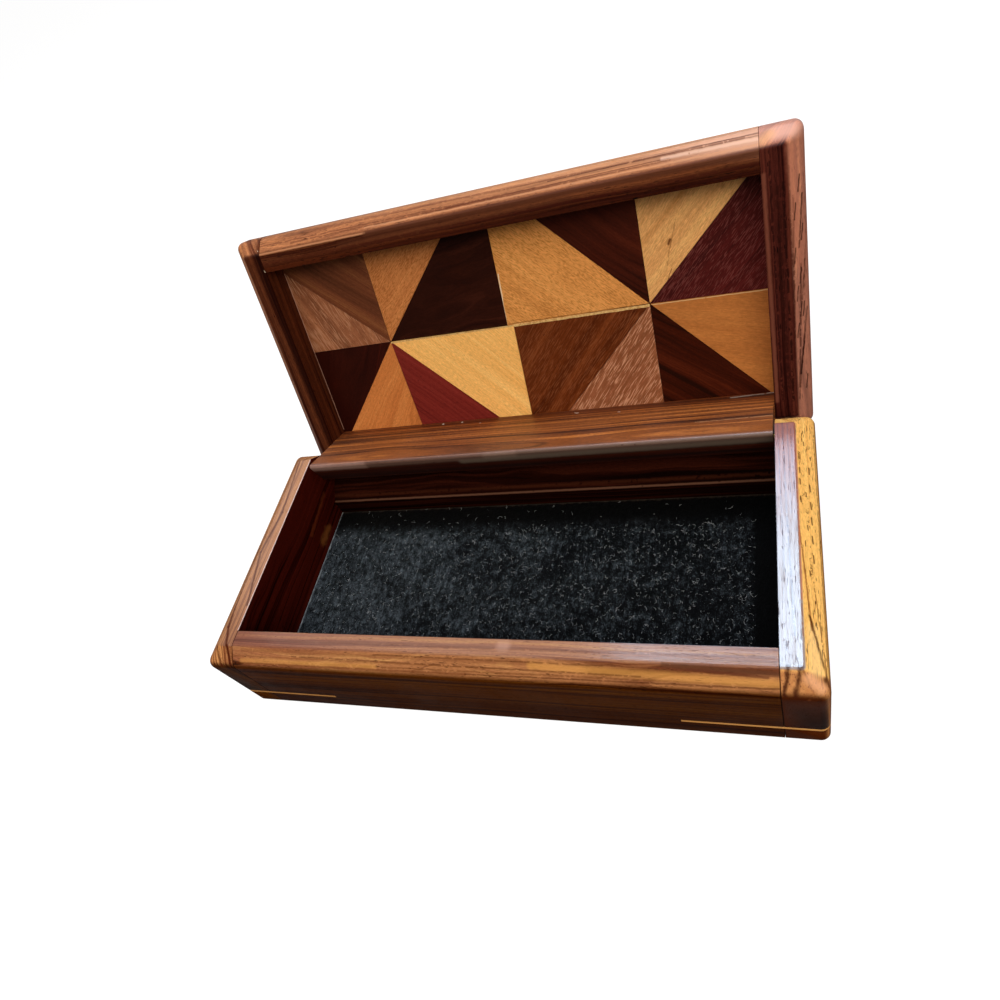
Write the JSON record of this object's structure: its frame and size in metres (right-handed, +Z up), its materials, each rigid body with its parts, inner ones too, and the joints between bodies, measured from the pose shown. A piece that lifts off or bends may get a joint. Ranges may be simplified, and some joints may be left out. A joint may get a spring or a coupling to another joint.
{
  "type": "trinket box",
  "caption": "Shallow wooden box with a velvet floor and a lid of fanned wooden wedges that leans back on hidden pins.",
  "frame": {"origin": "middle of the base's underside, on the surface that the box stands on", "axes": "+X to the box's right along its length, +Y from its front to its back, +Z up"},
  "size_m": [0.19, 0.1408, 0.0984],
  "materials": {
    "rim_wood": "satin oiled rosewood",
    "lid_wood": "satin oiled rosewood",
    "floor_wood": "plain sanded",
    "key_wood": "satin",
    "wedge_tan": "satin",
    "wedge_orange": "satin",
    "wedge_pale": "satin",
    "wedge_dark": "satin",
    "wedge_red": "satin",
    "card": "stiff card",
    "velvet": "short cut pile",
    "pin_brass": "drawn rod"
  },
  "bodies": {
    "base": {"base_front_board": "rim_wood", "base_left_cheek": "rim_wood", "base_right_cheek": "rim_wood", "base_back_board": "rim_wood", "floor_panel": "floor_wood", "lining_card": "card", "velvet_lining": "velvet", "corner_key_front_left": "key_wood", "corner_key_front_right": "key_wood", "corner_key_rear_left": "key_wood", "corner_key_rear_right": "key_wood", "hinge_pin_left": "pin_brass", "hinge_pin_right": "pin_brass"},
    "lid": {"lid_front_rail": "lid_wood", "lid_left_rail": "lid_wood", "lid_right_rail": "lid_wood", "lid_rear_rail": "lid_wood", "front_wedge_1": "wedge_tan", "front_wedge_2": "wedge_tan", "front_wedge_3": "wedge_orange", "front_wedge_4": "wedge_dark", "front_wedge_5": "wedge_orange", "front_wedge_6": "wedge_dark", "front_wedge_7": "wedge_pale", "front_wedge_8": "wedge_red", "rear_wedge_1": "wedge_dark", "rear_wedge_2": "wedge_orange", "rear_wedge_3": "wedge_red", "rear_wedge_4": "wedge_pale", "rear_wedge_5": "wedge_tan", "rear_wedge_6": "wedge_tan", "rear_wedge_7": "wedge_dark", "rear_wedge_8": "wedge_orange"}
  },
  "joints": [
    {"name": "lid_hinge", "type": "hinge", "parent": "base", "child": "lid", "pos_m": [0, 0.04135, 0.0253], "axis": [1, 0, 0], "range_deg": [0, 112.86]}
  ]
}
